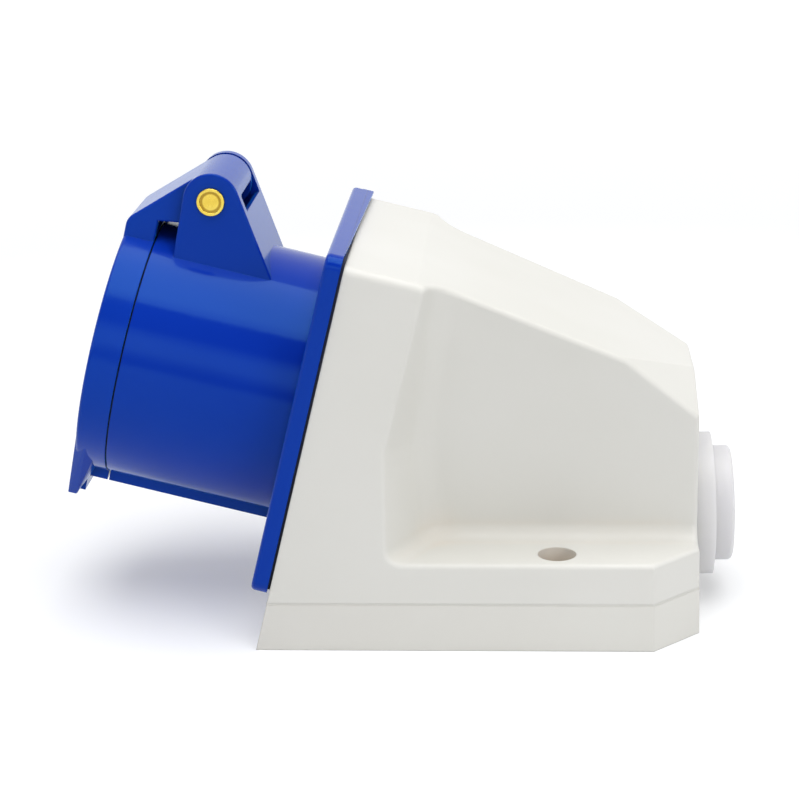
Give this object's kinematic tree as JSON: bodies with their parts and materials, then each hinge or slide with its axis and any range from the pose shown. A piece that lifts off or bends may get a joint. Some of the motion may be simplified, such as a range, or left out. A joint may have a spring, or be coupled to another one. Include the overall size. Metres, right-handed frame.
{
  "type": "industrial surface socket",
  "caption": "Tilted surface-mounted power socket with a round blue shroud, sprung hinged lid, grey wall enclosure and rear cable grommet.",
  "frame": {"origin": "midway between the two wall fixing holes, on the wall face of the base", "axes": "+X towards the cable side, the outlet faces -X and up; Y across; +Z away from the wall face"},
  "size_m": [0.1303, 0.0644, 0.0869],
  "materials": {
    "grey_shell": "light grey moulded shell, semi-matt",
    "grey_base": "light grey base, semi-matt",
    "black_rubber": "black seal rubber",
    "clear_rubber": "milky translucent, soft",
    "blue_body": "glossy blue",
    "blue_lid": "glossy blue",
    "brass": "bright brass",
    "dark_insert": "dark insulating insert",
    "spring_steel": "drawn wire",
    "screw_steel": "bright zinc"
  },
  "bodies": {
    "enclosure": {"housing": "grey_shell", "base_plate": "grey_base", "base_seal": "black_rubber", "cable_grommet": "clear_rubber", "flange_gasket": "black_rubber", "socket_body": "blue_body", "hinge_pin": "brass", "contact_carrier": "dark_insert", "carrier_plate": "dark_insert", "hinge_spring": "spring_steel", "live_contact": "brass", "neutral_contact": "brass", "earth_contact": "brass", "flange_screws": "screw_steel", "housing_screws": "screw_steel", "carrier_screws": "screw_steel", "terminal_screws": "screw_steel", "pole_rings": "spring_steel", "earth_ring": "spring_steel"},
    "lid": {"lid": "blue_lid", "lid_seal": "black_rubber"}
  },
  "joints": [
    {"name": "lid_hinge", "type": "hinge", "parent": "enclosure", "child": "lid", "pos_m": [-0.06417, 0, 0.08157], "axis": [0, 1, 0], "range_deg": [0, 150], "stiffness_Nm_per_rad": 0.03, "springref_deg": -34.38, "deforming": ["hinge_spring"]}
  ]
}
